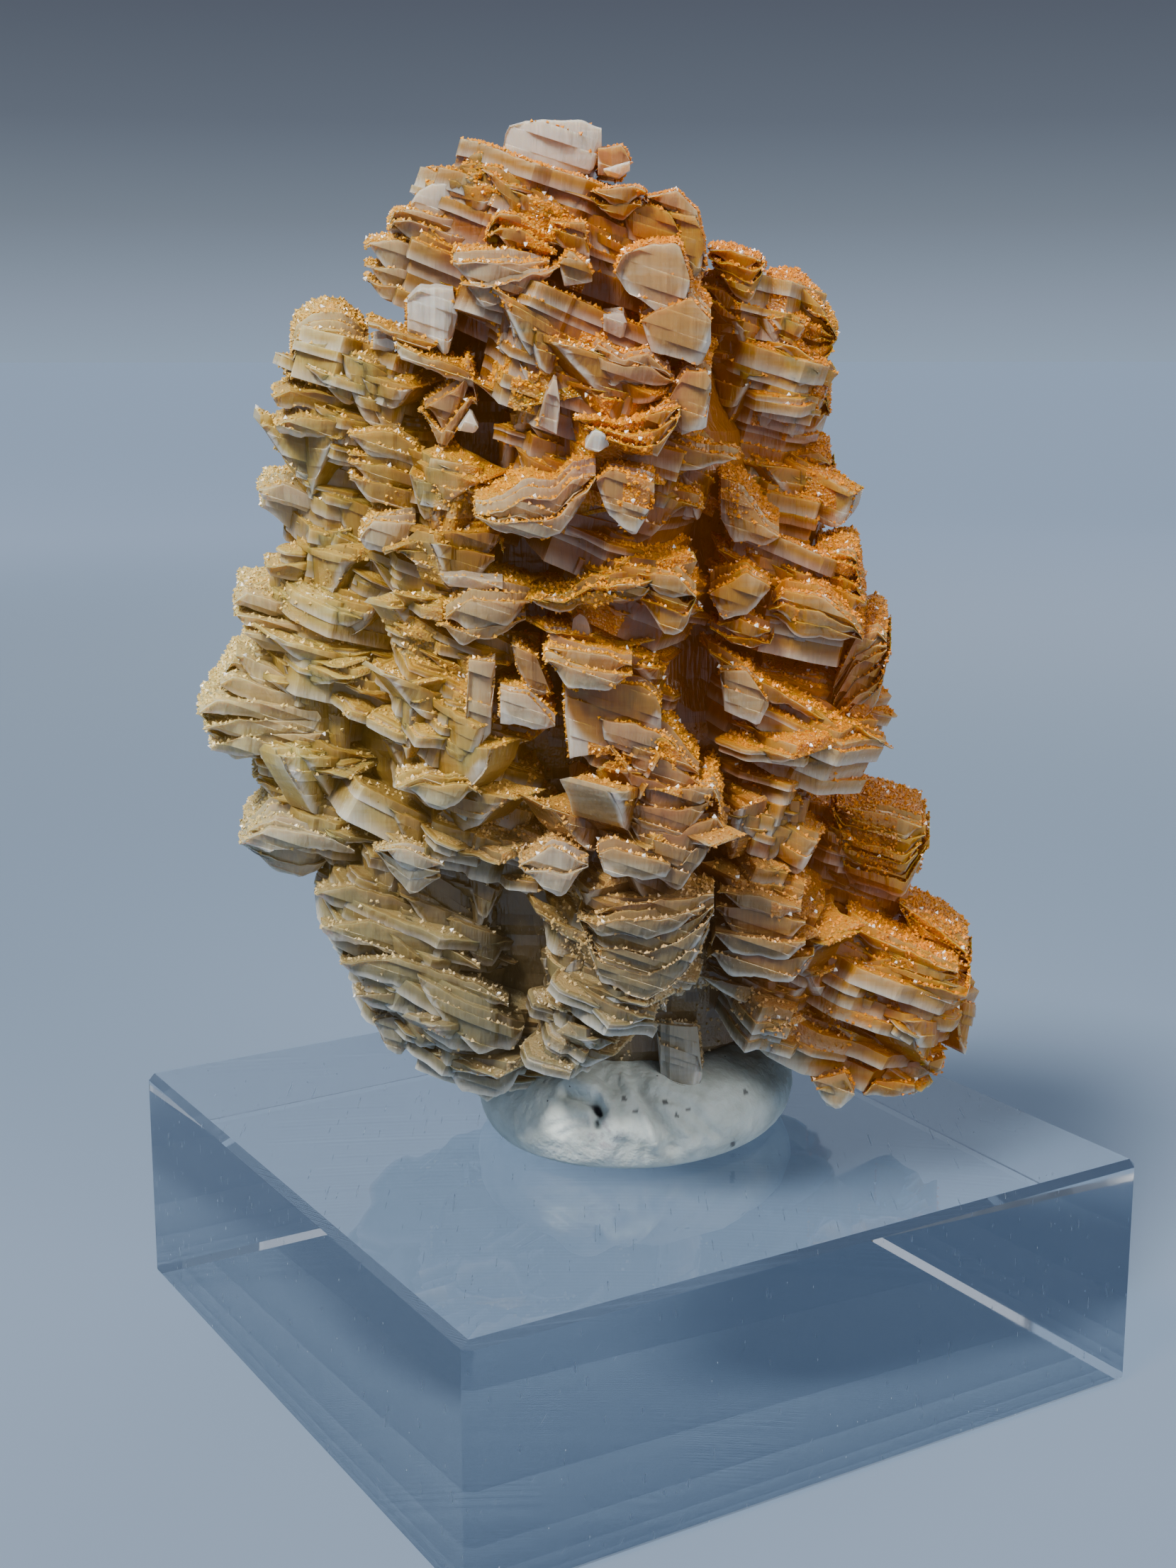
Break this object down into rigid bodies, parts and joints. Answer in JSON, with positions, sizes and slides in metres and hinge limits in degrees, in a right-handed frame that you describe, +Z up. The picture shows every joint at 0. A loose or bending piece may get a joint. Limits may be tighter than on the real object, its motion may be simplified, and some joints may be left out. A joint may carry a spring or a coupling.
{
  "type": "wulfenite mineral specimen",
  "caption": "Tall cluster of stacked platy wulfenite crystals with sparkling orange druse on its ledges, held by a roll of grey putty on a clear square display block.",
  "frame": {"origin": "centre of the clear block's underside", "axes": "+Z up along the specimen's height; X and Y square to the block's sides, the specimen's show side facing between -X and -Y"},
  "size_m": [0.0393, 0.038, 0.0617],
  "materials": {
    "platy_crystal": "waxy translucent plates, pale mauve-grey rims over honey-brown recesses",
    "orange_druse": "sparkling micro-crystals",
    "grey_putty": "matt, creased",
    "clear_acrylic": "clear, polished, with fine scratches"
  },
  "bodies": {
    "root": {"crystal_cluster": "platy_crystal", "mounting_putty": "grey_putty", "acrylic_block": "clear_acrylic"}
  },
  "joints": []
}
